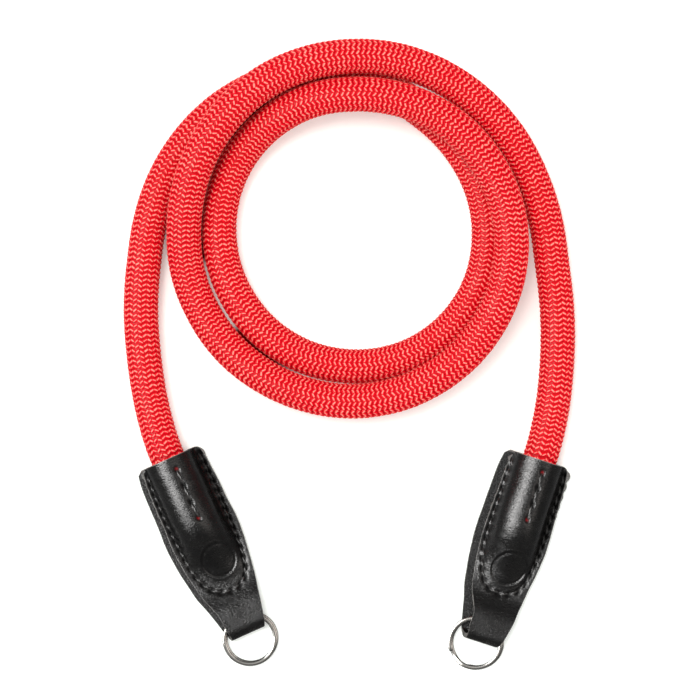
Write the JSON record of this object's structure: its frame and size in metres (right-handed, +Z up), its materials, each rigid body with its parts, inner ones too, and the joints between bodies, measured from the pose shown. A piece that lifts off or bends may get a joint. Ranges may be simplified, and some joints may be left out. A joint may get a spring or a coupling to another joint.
{
  "type": "camera strap",
  "caption": "Coiled camera strap: a thick braided rope with a folded, sewn leather tab on each end and a steel split ring through each tab's fold.",
  "frame": {"origin": "centre of the overall box in plan, on the surface that the strap lies on", "axes": "+Z up from that surface, +Y from the tabs towards the coil, +X from the left tab towards the right tab"},
  "size_m": [0.1412, 0.1968, 0.0225],
  "materials": {
    "braided_rope": "tight round braid, satin yarn",
    "black_leather": "fine grain, soft gloss, burnished edges",
    "ring_steel": "polished nickel plate"
  },
  "bodies": {
    "root": {"rope": "braided_rope", "left_tab": "black_leather", "right_tab": "black_leather", "left_ring": "ring_steel", "right_ring": "ring_steel"}
  },
  "joints": []
}
